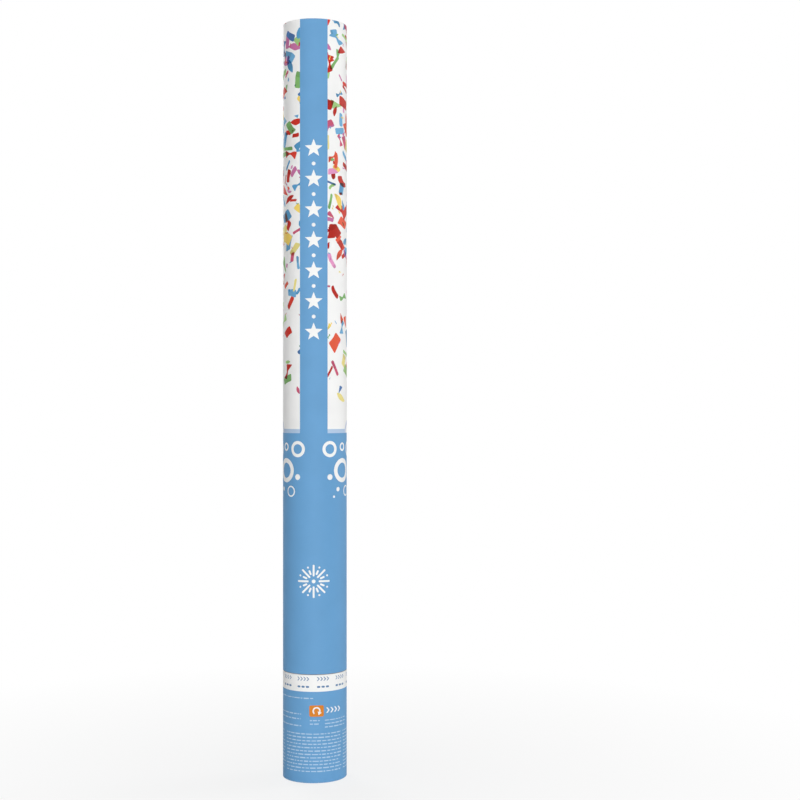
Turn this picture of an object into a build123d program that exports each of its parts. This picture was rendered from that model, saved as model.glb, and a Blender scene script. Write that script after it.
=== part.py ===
from build123d import *
from math import degrees, sqrt
import os

# Twist-fire confetti popper: a printed cardboard barrel on a short cardboard grip.
# Turning the grip winds a stopper out of a charged air can, and the air blows the confetti out.
# All lengths are in millimetres. The origin is the middle of the foot, with +Z up the barrel.

# Clearances
running_clearance = 0.3
seal_clearance = 0.05
packing_gap = 0.4
overrun = 1.0

# Cardboard tubes and the printed paper wrap that is turned in over both ends
overall_length = 600.0
grip_length = 85.0
seam_gap = 0.4
tube_diameter = 50.4
tube_wall = 2.0
wrap_thickness = 0.3
wrap_turn_in = 8.0
foot_round = 0.4
muzzle_round = 0.3

# Base plug that closes the grip and carries the air can
plug_recess = 3.0
plug_height = 12.0
plug_wall = 1.6
plug_floor = 2.0
plug_hub_diameter = 10.0
plug_rib_thickness = 1.6
plug_rib_count = 6
plug_socket_height = 6.0
plug_edge_round = 0.6

# Air can
can_rise = 35.0
can_wall = 0.9
can_shoulder_height = 11.0
can_neck_diameter = 20.0
can_neck_height = 4.0
can_bead_diameter = 25.4
can_bead_height = 4.0
can_foot_round = 3.0
can_punt_depth = 6.0
can_shoulder_round = 8.0
can_neck_round = 3.0
can_bead_round = 1.5

# Rubber plug in the bottom of the can, through which it is charged
fill_hole_diameter = 6.0
fill_head_diameter = 10.0
fill_head_height = 2.0
fill_head_round = 0.8

# Swivel coupler, glued into the grip and free to turn in the barrel
coupler_wall = 2.2
coupler_reach = 40.0
coupler_lead_in = 1.2
coupler_rib_depth = 2.0
coupler_rib_thickness = 1.6
coupler_rib_count = 8

# Valve body on the can's neck
gasket_thickness = 1.2
flange_thickness = 3.0
spigot_length = 9.0
spigot_clearance = 0.1
valve_bore_diameter = 14.0
chamber_diameter = 16.4
tower_diameter = 21.0
tower_end = 4.0
tower_chamfer = 0.8
seal_height = 5.0
ferrule_thickness = 0.5
ferrule_lap = 1.6

# Stopper with its seal and cross pin
pin_diameter = 3.0
pin_chamfer = 0.4
pin_height = 8.0
stopper_clearance = 0.2
stopper_tail = 6.0
stopper_crown = 5.0
stopper_crown_round = 2.0
seal_section = 1.8
seal_drop = 5.7
seal_groove_play = 0.3

# Cam collar, glued into the barrel, whose helical slots lift the pin as the grip turns
twist_angle = 120.0
stopper_lift = 8.0
hub_wall = 2.6
hub_height = 22.0
rim_wall = 2.0
rim_height = 14.0
spoke_width = 5.0
spoke_height = 6.0
spoke_count = 6

# Snap ring that keeps the collar on the valve body
ring_thickness = 1.0
ring_groove_depth = 0.8
ring_width = 3.0
ring_gap_width = 6.0

# Pusher, wad and muzzle disc
pusher_headroom = 4.0
pusher_wall = 2.0
pusher_roof = 2.0
pusher_edge_round = 1.2
wad_thickness = 8.0
disc_recess = 5.0
disc_thickness = 0.8
disc_skirt = 7.0

# Confetti, packed as sheaves of tissue strips
strip_length = 39.0
strip_width = 10.0
sheaf_thickness = 4.6
tier_turn = 30.0
colours = ["blue", "green", "yellow", "pink", "red"]

# Radii of the tubes and of what fits in them
tube_outer = tube_diameter / 2
tube_inner = tube_outer - tube_wall
wrap_outer = tube_outer + wrap_thickness
turn_in_inner = tube_inner - wrap_thickness
moving_radius = turn_in_inner - running_clearance

# Heights, from the foot up
barrel_bottom = grip_length + seam_gap
plug_top = plug_recess + plug_height
can_body_height = grip_length + can_rise - plug_top
can_top = plug_top + can_body_height + can_shoulder_height + can_neck_height + can_bead_height
can_bead_bottom = can_top - can_bead_height
flange_bottom = can_top + gasket_thickness
flange_top = flange_bottom + flange_thickness
hub_bottom = flange_top + ferrule_thickness + running_clearance
hub_top = hub_bottom + hub_height
ring_bottom = hub_top + running_clearance
ring_top = ring_bottom + ring_thickness
tower_top = ring_top + tower_end
pin_level = flange_top + pin_height
pusher_ceiling = tower_top + pusher_headroom
pusher_top = pusher_ceiling + pusher_roof
wad_top = pusher_top + wad_thickness
disc_top = overall_length - disc_recess
disc_bottom = disc_top - disc_skirt

# Radii of the can, the valve and the collar
coupler_bore = tube_inner - coupler_wall
can_radius = coupler_bore - coupler_rib_depth
neck_radius = can_neck_diameter / 2
neck_bore = neck_radius - can_wall
bead_radius = can_bead_diameter / 2
fill_hole = fill_hole_diameter / 2
valve_bore = valve_bore_diameter / 2
tower_outer = tower_diameter / 2
hub_inner = tower_outer + running_clearance
hub_outer = hub_inner + hub_wall
rim_inner = tube_inner - rim_wall
groove_radius = tower_outer - ring_groove_depth
slot_width = pin_diameter + 2 * running_clearance
stopper_radius = valve_bore - stopper_clearance
seal_ring_radius = valve_bore - seal_clearance - seal_section / 2

os.makedirs("parts", exist_ok=True)


def annulus(inner, outer):
    """A flat ring in the sketch that is open."""
    Circle(outer)
    Circle(inner, mode=Mode.SUBTRACT)


def can_outline(inset, top):
    """Half outline of the can, moved in by a wall's thickness, closed along the axis at the height top."""
    radius = can_radius - inset
    bottom = plug_top + inset
    corner = can_foot_round - inset
    foot = radius - corner
    shoulder = plug_top + can_body_height
    neck = shoulder + can_shoulder_height
    bore = neck_radius - inset
    dome = (foot**2 + can_punt_depth**2) / can_punt_depth / 2
    with BuildLine() as outline:
        RadiusArc((0, bottom + can_punt_depth), (foot, bottom), dome)
        CenterArc((foot, bottom + corner), corner, -90, 90)
        FilletPolyline(
            (radius, bottom + corner),
            (radius, shoulder),
            (bore, neck),
            (bore, top),
            radius=[can_shoulder_round - inset, can_neck_round + inset],
        )
        Polyline((bore, top), (0, top), (0, bottom + can_punt_depth))
    make_face(outline.edges())


# Grip tube, rounded at the foot
with BuildPart() as grip_tube:
    with BuildSketch(Plane.XY.offset(wrap_thickness)):
        annulus(tube_inner, tube_outer)
    extrude(amount=grip_length - wrap_thickness)
    foot_edges = grip_tube.edges().filter_by(GeomType.CIRCLE).group_by(Axis.Z)[0]
    fillet(foot_edges.sort_by(SortBy.RADIUS)[-1], radius=foot_round)
grip_tube.part.label = "grip_tube"

# Printed wrap of the grip, turned under the foot and up inside
with BuildPart() as grip_label:
    with BuildSketch(Plane.XZ):
        with BuildLine():
            FilletPolyline(
                (wrap_outer, grip_length),
                (wrap_outer, 0),
                (turn_in_inner, 0),
                (turn_in_inner, wrap_turn_in),
                (tube_inner, wrap_turn_in),
                (tube_inner, wrap_thickness),
                (tube_outer, wrap_thickness),
                (tube_outer, grip_length),
                radius=[0, foot_round + wrap_thickness, wrap_thickness, 0, 0, 0, foot_round, 0],
                close=True,
            )
        make_face()
    revolve(axis=Axis.Z)
grip_label.part.label = "grip_label"

# Barrel tube, eased at the muzzle
with BuildPart() as barrel_tube:
    with BuildSketch(Plane.XY.offset(barrel_bottom)):
        annulus(tube_inner, tube_outer)
    extrude(amount=overall_length - wrap_thickness - barrel_bottom)
    muzzle_edges = barrel_tube.edges().filter_by(GeomType.CIRCLE).group_by(Axis.Z)[-1]
    fillet(muzzle_edges.sort_by(SortBy.RADIUS)[-1], radius=muzzle_round)
barrel_tube.part.label = "barrel_tube"

# Printed wrap of the barrel, turned over the muzzle and down inside
with BuildPart() as barrel_label:
    with BuildSketch(Plane.XZ):
        with BuildLine():
            FilletPolyline(
                (wrap_outer, barrel_bottom),
                (wrap_outer, overall_length),
                (turn_in_inner, overall_length),
                (turn_in_inner, overall_length - wrap_turn_in),
                (tube_inner, overall_length - wrap_turn_in),
                (tube_inner, overall_length - wrap_thickness),
                (tube_outer, overall_length - wrap_thickness),
                (tube_outer, barrel_bottom),
                radius=[0, muzzle_round + wrap_thickness, wrap_thickness, 0, 0, 0, muzzle_round, 0],
                close=True,
            )
        make_face()
    revolve(axis=Axis.Z)
barrel_label.part.label = "barrel_label"

# Base plug: a ribbed cup that opens downwards, with a socket on top for the can
with BuildPart() as base_plug:
    with BuildSketch(Plane.XY.offset(plug_recess)):
        annulus(turn_in_inner - plug_wall, turn_in_inner)
        annulus(plug_hub_diameter / 2 - plug_wall, plug_hub_diameter / 2)
        with PolarLocations(0, plug_rib_count):
            Rectangle(turn_in_inner - plug_wall, plug_rib_thickness, align=(Align.MIN, Align.CENTER))
        Circle(plug_hub_diameter / 2 - plug_wall, mode=Mode.SUBTRACT)
    extrude(amount=plug_height - plug_floor)
    with BuildSketch(Plane.XY.offset(plug_top - plug_floor)):
        Circle(turn_in_inner)
    extrude(amount=plug_floor)
    with BuildSketch(Plane.XY.offset(plug_top)):
        annulus(can_radius, can_radius + plug_wall)
    extrude(amount=plug_socket_height)
    rim_edges = base_plug.edges().filter_by(GeomType.CIRCLE).group_by(Axis.Z)[0]
    fillet(rim_edges.sort_by(SortBy.RADIUS)[-1], radius=plug_edge_round)
base_plug.part.label = "base_plug"

# Air can: a thin drawn shell with a domed bottom, a shoulder and a rolled bead round its mouth
with BuildPart() as air_can:
    with BuildSketch(Plane.XZ):
        can_outline(0, can_top)
    revolve(axis=Axis.Z)
    with BuildSketch(Plane.XZ):
        with BuildLine():
            FilletPolyline(
                (neck_bore, can_bead_bottom),
                (bead_radius, can_bead_bottom),
                (bead_radius, can_top),
                (neck_bore, can_top),
                radius=[0, can_bead_round, can_bead_round, 0],
                close=True,
            )
        make_face()
    revolve(axis=Axis.Z)
    with BuildSketch(Plane.XZ):
        can_outline(can_wall, can_top)
    revolve(axis=Axis.Z, mode=Mode.SUBTRACT)
    with BuildSketch(Plane.XY.offset(plug_top)):
        Circle(fill_hole)
    extrude(amount=can_punt_depth + can_wall + overrun, mode=Mode.SUBTRACT)
air_can.part.label = "air_can"

# Fill plug, with a head on each side of the can's domed bottom
with BuildPart() as fill_plug:
    with BuildSketch(Plane.XY.offset(plug_top + can_punt_depth - fill_head_height)):
        Circle(fill_hole)
    extrude(amount=can_wall + 2 * fill_head_height)
    with BuildSketch(Plane.XY.offset(plug_top + can_punt_depth + can_wall)):
        Circle(fill_head_diameter / 2)
    extrude(amount=fill_head_height)
    head_edges = fill_plug.edges().filter_by(GeomType.CIRCLE).group_by(Axis.Z)[-1]
    fillet(head_edges, radius=fill_head_round)
fill_plug.part.label = "fill_plug"

# Swivel coupler: a stepped sleeve with ribs that hold the can upright
with BuildPart() as swivel_coupler:
    coupler_top = grip_length + coupler_reach
    coupler_spigot = tube_inner - running_clearance
    with BuildSketch(Plane.XZ):
        with BuildLine():
            Polyline(
                (coupler_bore, plug_top),
                (tube_inner, plug_top),
                (tube_inner, grip_length),
                (coupler_spigot, grip_length),
                (coupler_spigot, coupler_top - coupler_lead_in),
                (coupler_spigot - coupler_lead_in, coupler_top),
                (coupler_bore, coupler_top),
                close=True,
            )
        make_face()
    revolve(axis=Axis.Z)
    rib_bottom = plug_top + plug_socket_height
    with BuildSketch(Plane.XY.offset(rib_bottom)):
        with PolarLocations(0, coupler_rib_count):
            rib_end = coupler_bore + coupler_wall / 2
            Rectangle(rib_end, coupler_rib_thickness, align=(Align.MIN, Align.CENTER))
        Circle(can_radius, mode=Mode.SUBTRACT)
    extrude(amount=plug_top + can_body_height - can_shoulder_round - rib_bottom)
swivel_coupler.part.label = "swivel_coupler"

# Rubber gasket between the can's bead and the valve
with BuildPart() as neck_gasket:
    with BuildSketch(Plane.XY.offset(can_top)):
        annulus(neck_bore, bead_radius)
    extrude(amount=gasket_thickness)
neck_gasket.part.label = "neck_gasket"

# Valve body: spigot, flange and a tower with two straight slots that carry the pin round
with BuildPart() as valve_body:
    spigot_radius = neck_bore - spigot_clearance
    chamber_bottom = flange_top + seal_height
    with BuildSketch(Plane.XZ):
        with BuildLine():
            Polyline(
                (valve_bore, flange_bottom - spigot_length),
                (spigot_radius, flange_bottom - spigot_length),
                (spigot_radius, flange_bottom),
                (bead_radius, flange_bottom),
                (bead_radius, flange_top),
                (tower_outer, flange_top),
                (tower_outer, ring_bottom),
                (groove_radius, ring_bottom),
                (groove_radius, ring_top),
                (tower_outer, ring_top),
                (tower_outer, tower_top - tower_chamfer),
                (tower_outer - tower_chamfer, tower_top),
                (chamber_diameter / 2, tower_top),
                (chamber_diameter / 2, chamber_bottom + chamber_diameter / 2 - valve_bore),
                (valve_bore, chamber_bottom),
                close=True,
            )
        make_face()
    revolve(axis=Axis.Z)
    with BuildSketch(Plane.YZ):
        with Locations((0, pin_level + stopper_lift / 2)):
            SlotCenterToCenter(stopper_lift, slot_width, rotation=90)
    extrude(amount=tower_outer + overrun, both=True, mode=Mode.SUBTRACT)
valve_body.part.label = "valve_body"

# Crimped ferrule that clamps the valve and the gasket to the can's bead
with BuildPart() as crimp_ferrule:
    ferrule_outer = bead_radius + ferrule_thickness
    ferrule_bottom = can_bead_bottom - ferrule_thickness
    with BuildSketch(Plane.XZ):
        with BuildLine():
            Polyline(
                (bead_radius - ferrule_lap, ferrule_bottom),
                (ferrule_outer, ferrule_bottom),
                (ferrule_outer, flange_top + ferrule_thickness),
                (bead_radius - ferrule_lap, flange_top + ferrule_thickness),
                (bead_radius - ferrule_lap, flange_top),
                (bead_radius, flange_top),
                (bead_radius, can_bead_bottom),
                (bead_radius - ferrule_lap, can_bead_bottom),
                close=True,
            )
        make_face()
    revolve(axis=Axis.Z)
crimp_ferrule.part.label = "crimp_ferrule"

# Stopper: a piston with a seal groove, a cross hole and a rounded crown
with BuildPart() as stopper:
    stopper_top = pin_level + stopper_crown
    seal_level = pin_level - seal_drop
    stopper_bottom = seal_level - stopper_tail
    groove_half = seal_section / 2 + seal_groove_play / 2
    groove_floor = seal_ring_radius - seal_section / 2
    with BuildSketch(Plane.XZ):
        with BuildLine():
            FilletPolyline(
                (0, stopper_bottom),
                (stopper_radius, stopper_bottom),
                (stopper_radius, seal_level - groove_half),
                (groove_floor, seal_level - groove_half),
                (groove_floor, seal_level + groove_half),
                (stopper_radius, seal_level + groove_half),
                (stopper_radius, stopper_top),
                (0, stopper_top),
                radius=[0, 0, 0, 0, 0, 0, stopper_crown_round, 0],
                close=True,
            )
        make_face()
    revolve(axis=Axis.Z)
    with BuildSketch(Plane.YZ):
        with Locations((0, pin_level)):
            Circle(pin_diameter / 2)
    extrude(amount=stopper_radius + overrun, both=True, mode=Mode.SUBTRACT)
stopper.part.label = "stopper"

# Rubber seal in the stopper's groove
with BuildPart() as stopper_seal:
    with BuildSketch(Plane.XZ):
        with Locations((seal_ring_radius, seal_level)):
            Circle(seal_section / 2)
    revolve(axis=Axis.Z)
stopper_seal.part.label = "stopper_seal"

# Cross pin through the stopper, long enough to reach across the collar's hub
with BuildPart() as cross_pin:
    with BuildSketch(Plane.YZ):
        with Locations((0, pin_level)):
            Circle(pin_diameter / 2)
    extrude(amount=hub_outer - running_clearance, both=True)
    chamfer(cross_pin.edges().filter_by(GeomType.CIRCLE), length=pin_chamfer)
cross_pin.part.label = "cross_pin"

# Cam collar: a hub with two helical slots, on spokes that let the air past, inside a glued rim
with BuildPart() as cam_collar:
    with BuildSketch(Plane.XY.offset(hub_bottom)):
        annulus(hub_inner, hub_outer)
    extrude(amount=hub_height)
    with BuildSketch(Plane.XY.offset(hub_top - rim_height)):
        annulus(rim_inner, tube_inner)
    extrude(amount=rim_height)
    with BuildSketch(Plane.XY.offset(hub_top - spoke_height)):
        with PolarLocations(0, spoke_count, start_angle=180 / spoke_count):
            Rectangle(rim_inner + rim_wall / 2, spoke_width, align=(Align.MIN, Align.CENTER))
        Circle(hub_outer - hub_wall / 2, mode=Mode.SUBTRACT)
    extrude(amount=spoke_height)
    slot_radius = (hub_inner + hub_outer) / 2
    slot_end_angle = degrees((slot_width / 2 + running_clearance) / slot_radius)
    slot_rise = stopper_lift / twist_angle
    with BuildLine() as slot_path:
        Helix(
            pitch=slot_rise * 360,
            height=slot_rise * (twist_angle + 2 * slot_end_angle),
            radius=slot_radius,
            center=(0, 0, pin_level - slot_rise * slot_end_angle),
        )
    for turn in (0, 180):
        path = slot_path.line.rotate(Axis.Z, turn - slot_end_angle)
        start = path @ 0
        outward = Vector(start.X, start.Y, 0)
        with BuildSketch(Plane(origin=start, x_dir=outward, z_dir=path % 0)):
            Rectangle(hub_wall + 2 * overrun, slot_width)
        sweep(path=path, is_frenet=True, mode=Mode.SUBTRACT)
cam_collar.part.label = "cam_collar"

# Snap ring in the tower's groove, open at one side
with BuildPart() as snap_ring:
    with BuildSketch(Plane.XY.offset(ring_bottom)):
        ring_outer = groove_radius + ring_width
        annulus(groove_radius, ring_outer)
        Rectangle(
            ring_outer + overrun, ring_gap_width, align=(Align.MIN, Align.CENTER), mode=Mode.SUBTRACT
        )
    extrude(amount=ring_thickness)
snap_ring.part.label = "snap_ring"

# Pusher: a cup that stands over the valve on the collar's rim
with BuildPart() as pusher_cup:
    with BuildSketch(Plane.XZ):
        with BuildLine():
            FilletPolyline(
                (moving_radius - pusher_wall, hub_top),
                (moving_radius, hub_top),
                (moving_radius, pusher_top),
                (0, pusher_top),
                (0, pusher_ceiling),
                (moving_radius - pusher_wall, pusher_ceiling),
                radius=[0, 0, pusher_edge_round, 0, 0, pusher_edge_round],
                close=True,
            )
        make_face()
    revolve(axis=Axis.Z)
pusher_cup.part.label = "pusher_cup"

# Foam wad on the pusher
with BuildPart() as foam_wad:
    with BuildSketch(Plane.XY.offset(pusher_top)):
        Circle(moving_radius)
    extrude(amount=wad_thickness)
foam_wad.part.label = "foam_wad"

# Muzzle disc: a shallow paper lid, skirt down
with BuildPart() as muzzle_disc:
    with BuildSketch(Plane.XZ):
        with BuildLine():
            FilletPolyline(
                (moving_radius - disc_thickness, disc_bottom),
                (moving_radius, disc_bottom),
                (moving_radius, disc_top),
                (0, disc_top),
                (0, disc_top - disc_thickness),
                (moving_radius - disc_thickness, disc_top - disc_thickness),
                radius=[0, 0, disc_thickness, 0, 0, 0],
                close=True,
            )
        make_face()
    revolve(axis=Axis.Z)
muzzle_disc.part.label = "muzzle_disc"

# Confetti: one bundle of each colour, in tiers that are each turned a little from the one below
tier_pitch = strip_length + packing_gap
column_pitch = strip_width + packing_gap
row_pitch = sheaf_thickness + packing_gap
charge_bottom = wad_top + packing_gap
charge_side = moving_radius * sqrt(2) + packing_gap
columns = int(charge_side / column_pitch)
rows = int(charge_side / row_pitch)
tiers = max(len(colours), int((disc_bottom - charge_bottom) / tier_pitch))
bundles = []
for order, colour in enumerate(colours):
    with BuildPart() as bundle:
        for tier in range(tiers):
            if tier * len(colours) // tiers == order:
                level = Plane.XY.offset(charge_bottom + tier * tier_pitch)
                with BuildSketch(level.rotated((0, 0, tier * tier_turn))):
                    with GridLocations(column_pitch, row_pitch, columns, rows):
                        Rectangle(strip_width, sheaf_thickness)
                extrude(amount=strip_length)
    bundle.part.label = f"confetti_{colour}"
    bundles.append(bundle)

pieces = [
    grip_tube,
    grip_label,
    barrel_tube,
    barrel_label,
    base_plug,
    air_can,
    fill_plug,
    swivel_coupler,
    neck_gasket,
    valve_body,
    crimp_ferrule,
    stopper,
    stopper_seal,
    cross_pin,
    cam_collar,
    snap_ring,
    pusher_cup,
    foam_wad,
    muzzle_disc,
    *bundles,
]
for piece in pieces:
    export_step(piece.part, f"parts/{piece.part.label}.step")

print("pusher travel", overall_length - wad_top)
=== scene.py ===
import random
from math import cos, hypot, pi, radians, sin, tau

import bpy
import numpy as np
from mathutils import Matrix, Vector, geometry, noise


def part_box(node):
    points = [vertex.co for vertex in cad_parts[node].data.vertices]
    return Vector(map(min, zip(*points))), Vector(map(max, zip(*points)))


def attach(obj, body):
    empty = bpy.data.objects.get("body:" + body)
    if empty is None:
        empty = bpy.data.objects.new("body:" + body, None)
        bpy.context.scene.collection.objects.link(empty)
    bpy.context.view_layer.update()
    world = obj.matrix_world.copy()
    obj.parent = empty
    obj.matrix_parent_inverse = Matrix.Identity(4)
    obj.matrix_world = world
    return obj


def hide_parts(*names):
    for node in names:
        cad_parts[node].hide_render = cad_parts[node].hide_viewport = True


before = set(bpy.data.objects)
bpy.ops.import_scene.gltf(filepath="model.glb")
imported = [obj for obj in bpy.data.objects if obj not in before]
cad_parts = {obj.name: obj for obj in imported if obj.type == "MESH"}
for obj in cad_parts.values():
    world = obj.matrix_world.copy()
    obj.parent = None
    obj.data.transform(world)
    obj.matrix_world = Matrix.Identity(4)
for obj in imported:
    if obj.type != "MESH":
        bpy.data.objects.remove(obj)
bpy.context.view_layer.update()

# Sizes of the pieces and the print are in millimetres, and the materials and the studio are in metres
MM = 0.001


def box_mm(name):
    """Lowest and highest corner of a CAD node, in millimetres."""
    low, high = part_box(name)
    return low / MM, high / MM


# Printed paper wraps, turned over the muzzle and under the foot, with a lap down the back
barrel_low, barrel_high = box_mm("barrel_label")
grip_low, grip_high = box_mm("grip_label")
WRAP_RADIUS = barrel_high.x
GIRTH = tau * WRAP_RADIUS
PAPER = 0.28
RIM_WIDTH = 2.6
LIP_ROUND = 0.3
MUZZLE_ROUND = 0.6
FOOT_ROUND = 0.7
TURN_IN = 8.0
TURN_GAP = 0.2
LAP_WIDTH = 8.0
LAP_END = GIRTH + LAP_WIDTH
LAP_RAMP = 2.5
LAP_LIFT = 0.31
PLEATS = 40
PLEAT_DEPTH = 0.1
FOLD_WEAR = 0.6
SEAM_WEAR = 0.4

# Mesh of the wraps, and shares of the square that their colours are baked in
SECTORS = 96
GRID_STEP = 9.0
EDGE_STEP = 1.2
EDGE_STEPS = 2
FOLD_STEPS = 4
RIM_STEPS = 2
TURN_IN_STEPS = 3
TRIANGLES_INSIDE = 1
CUT_TOLERANCE = 1e-4
BAKE_MARGIN = 0.004
BAKE_STRIP = 0.05

# Print of the barrel, with heights above the foot. The stripe's middle lies at the front
FRONT_SHIFT = 0.5
FRONT = GIRTH / 2 + FRONT_SHIFT
STRIPE_WIDTH = 22.4
FIELD_TOP = 274.5
PALE_BAND = 3.2
STAR_LOW, STAR_HIGH = 354.0, 498.0
STAR_COUNT = 7
STAR_POINTS = 5
STAR_RADIUS = 7.4
STAR_WAIST = 0.42
STAR_DOT = 1.5
BURST_HEIGHT = 158.4
BURST_RADIUS = 13.0
BURST_HUB = 1.5
BURST_RAYS = 16
RAY_WIDTH, RAY_CORNER = 1.5, 0.7
# Shares of the burst's radius between which a ray runs, and where a dot sits past a short one
LONG_RAY, SHORT_RAY = (0.3, 1.0), (0.42, 0.72)
RAY_DOT_SHARE, RAY_DOT = 0.9, 0.8
BUBBLE_REPEATS = 6
BUBBLE_PITCH = GIRTH / BUBBLE_REPEATS
# Place in a repeat for its width, height above the foot, radius and stroke
BUBBLES = [
    (0.0, 245.0, 9.6, 3.6),
    (0.0, 263.6, 3.4, 1.4),
    (0.24, 228.6, 4.4, 1.1),
    (-0.2, 230.2, 1.8, 1.8),
    (-0.36, 224.4, 1.0, 1.0),
]
BETWEEN_BUBBLES = [(0.5, 262.0, 6.4, 2.5), (0.5, 240.0, 2.3, 2.3)]
HALO_HEIGHT, HALO_RADIUS, HALO_STROKE = 276.0, 8.8, 3.4

# Printed confetti
CONFETTI_SEED = 14
CONFETTI_FOOT = 281.0
CONFETTI_CELL = 9.0
CONFETTI_LENGTHS = (6.0, 13.5)
CHIP_LENGTHS = (1.5, 4.2)
CHIP_REACH = 5.0
WIDTH_SPREAD = (0.8, 1.2)
EDGE_SPREAD = (0.82, 1.14)
INK_SPREAD = (0.9, 1.08)
SLANT_SHARE = 0.4
CLEAR_SHARE = 0.35
FOLD_SHARE = 0.45
FOLD_SHADE = 0.8
CORNER_CUT = 1.2
CORNER_MOST_SHARE = 0.4
# Where the share of places that hold confetti starts to change, over what height, and by how much
CONFETTI_STEPS = [
    (296.0, 30.0, 0.48),
    (395.0, 30.0, 0.5),
    (512.0, 22.0, -0.3),
    (562.0, 20.0, 0.2),
]
# Half widths along a piece of confetti, its width for its length, and how far it bends
CONFETTI_SHAPES = [
    ((1.0, 0.96, 1.0, 1.0), 0.46, 0.4),
    ((1.0, 1.0, 0.94, 1.0), 0.62, 0.3),
    ((1.0, 0.72, 0.4, 0.06), 0.62, 0.5),
    ((1.0, 0.58, 0.12, 0.5, 0.85), 0.56, 0.7),
    ((0.3, 0.84, 1.0, 0.72, 0.1), 0.5, 0.7),
    ((0.85, 1.0, 1.0, 1.0, 1.0, 0.8), 0.3, 2.4),
    ((1.0, 0.86, 1.0), 0.22, 0.3),
]

# Print of the grip. A row of marks has its count, pitch, size of a mark, and stroke or corner
BAND_FOOT = 71.8
ARROW_ROW, DASH_ROW = 81.8, 75.6
MARK_REPEATS = 10
BAND_ARROWS = (4, 2.6, (2.3, 3.0), 0.9)
BAND_DASHES = (3, 3.6, (2.6, 1.5), 0.6)
BADGE_PLACE, BADGE_HEIGHT = 2.3, 56.7
BADGE_SIZE = (11.6, 8.9)
BADGE_CORNER = 1.4
SIDE_ARROWS = (4, 3.6, (3.0, 4.2), 1.3)
SIDE_ARROWS_PLACE, SIDE_ARROWS_LIFT = 14.6, 0.3
CURL_RADIUS, CURL_STROKE = 3.2, 1.1
CURL_ENDS = (radians(-30), radians(230))
CURL_HEAD = [(-1.7, 0.5), (1.7, 0.5), (0, -2.0)]
CURL_TILT = radians(-20)

# Small print, as rows of dashes
TEXT_SEED = 5
TEXT_HEIGHT = 0.95
TEXT_COLUMNS = 3
ROW_TOP, ROW_PITCH, ROW_COUNT = 38.6, 2.66, 12
ROW_STARTS, ROW_ENDS = (1.0, 2.2), (0.2, 4.0)
WORD_LENGTHS, WORD_GAPS = (1.2, 5.2), (0.7, 1.1)
WORD_HEIGHTS = (0.75, 1.05)
BLOCK_RAGGED = 4.0
SIDE_ROWS = (62.0, 59.0, 53.0, 50.2, 47.4, 44.6)
# Start and end of a block from the middle of the front, and the heights of its rows
TEXT_BLOCKS = [
    (-33.0, 2.0, (66.6,)),
    (-34.0, -9.0, (54.0, 50.2, 44.8)),
    (-3.0, 7.0, (49.2, 46.5)),
    (9.0, 33.0, (49.2, 46.5, 43.8)),
    (-72.5, -36.5, SIDE_ROWS),
    (36.5, 72.5, SIDE_ROWS),
]

# Bundles of tissue strips, stacked in sheaves that stand in tiers
BUNDLE_SEED = 31
BUNDLE_RADIUS = 22.3
STRIP_WIDTH, SHEAF_DEPTH, STRIP_LENGTH = 10.0, 4.6, 39.0
PACKING_GAP = 0.4
SHEAF_COLUMNS, SHEAF_ROWS = 3, 6
TIERS_PER_COLOUR = 2
TIER_TURN = radians(30)
SHEAF_STRIPS = 7
LOOSE_STRIPS = 2
PACKED_TISSUE, LOOSE_TISSUE = 0.5, 0.2
LANE_STAGGER = 0.25
STRIP_GRID = (9, 4)
WIDTH_TRIMS, LENGTH_TRIMS = (0.1, 0.9), (0.2, 2.0)
STRIP_LEAN, STRIP_SKEW = 0.03, 0.04
STRIP_FLARES = (0.2, 4.0)
FLARE_TWIST = 0.5
CRINKLE_WAVES, CRINKLE_SWAYS = (1.0, 2.6), (0.1, 0.4)
CRINKLE_DRIFT = 0.12
CROSS_SWAY = 0.1
CROSS_TURN_ACROSS, CROSS_TURN_ALONG = 5.0, 9.0

# Foam wad and muzzle lid
TURN_STEPS = 176
FACE_RINGS = 8
SHARP_ANGLE = radians(50)
WAD_ROUND = 1.4
WAD_SIDE_SHARES = (0.35, 0.5, 0.65)
PIT_DEPTH = 0.35
PITS_PER_MM = 0.9
LID_CARD = 0.8
LID_DISH = 0.7
LID_FILLET = 0.2
LID_EDGE = 0.1
LID_EDGE_SHARE = 0.03
LID_PLEATS = 44
LID_PLEAT_DEPTH = 0.22
LID_RAGGED = 0.35
LID_RAGS = 9.0

# Studio. Lamps have their place, width and height, and power in watts
CAMERA_PLACE = (0.0682, -1.17, 0.3006)
CAMERA_LENS = 65.7
LAMP_AIM = (0, 0, 0.3)
LAMPS = {
    "key": ((0.33, -3.68, 0.55), (3.0, 0.9), 97),
    "side": ((3.2, 1.25, 1.2), (1.4, 1.6), 42),
    "back": ((-1.6, 3.2, 1.4), (1.6, 1.6), 52),
    "top": ((0, 0, 2.6), (1.4, 1.4), 14),
}
ROOM_LIGHT = 0.1
WHITE_LIGHT = (1, 1, 1, 1)
FLOOR_HALF = 8000
FLOOR_GREY = (0.8, 0.8, 0.8, 1)
FLOOR_ROUGHNESS = 0.9
# Share of the background's white in the floor, and the distances between which it grows
FLOOR_WHITES = (0.8, 1.0)
FLOOR_FADE = (0.05, 0.5)


def srgb(red, green, blue):
    """Linear colour of 8-bit screen values."""
    values = np.array([red, green, blue]) / 255
    return np.where(values <= 0.04045, values / 12.92, ((values + 0.055) / 1.055) ** 2.4)


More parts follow.
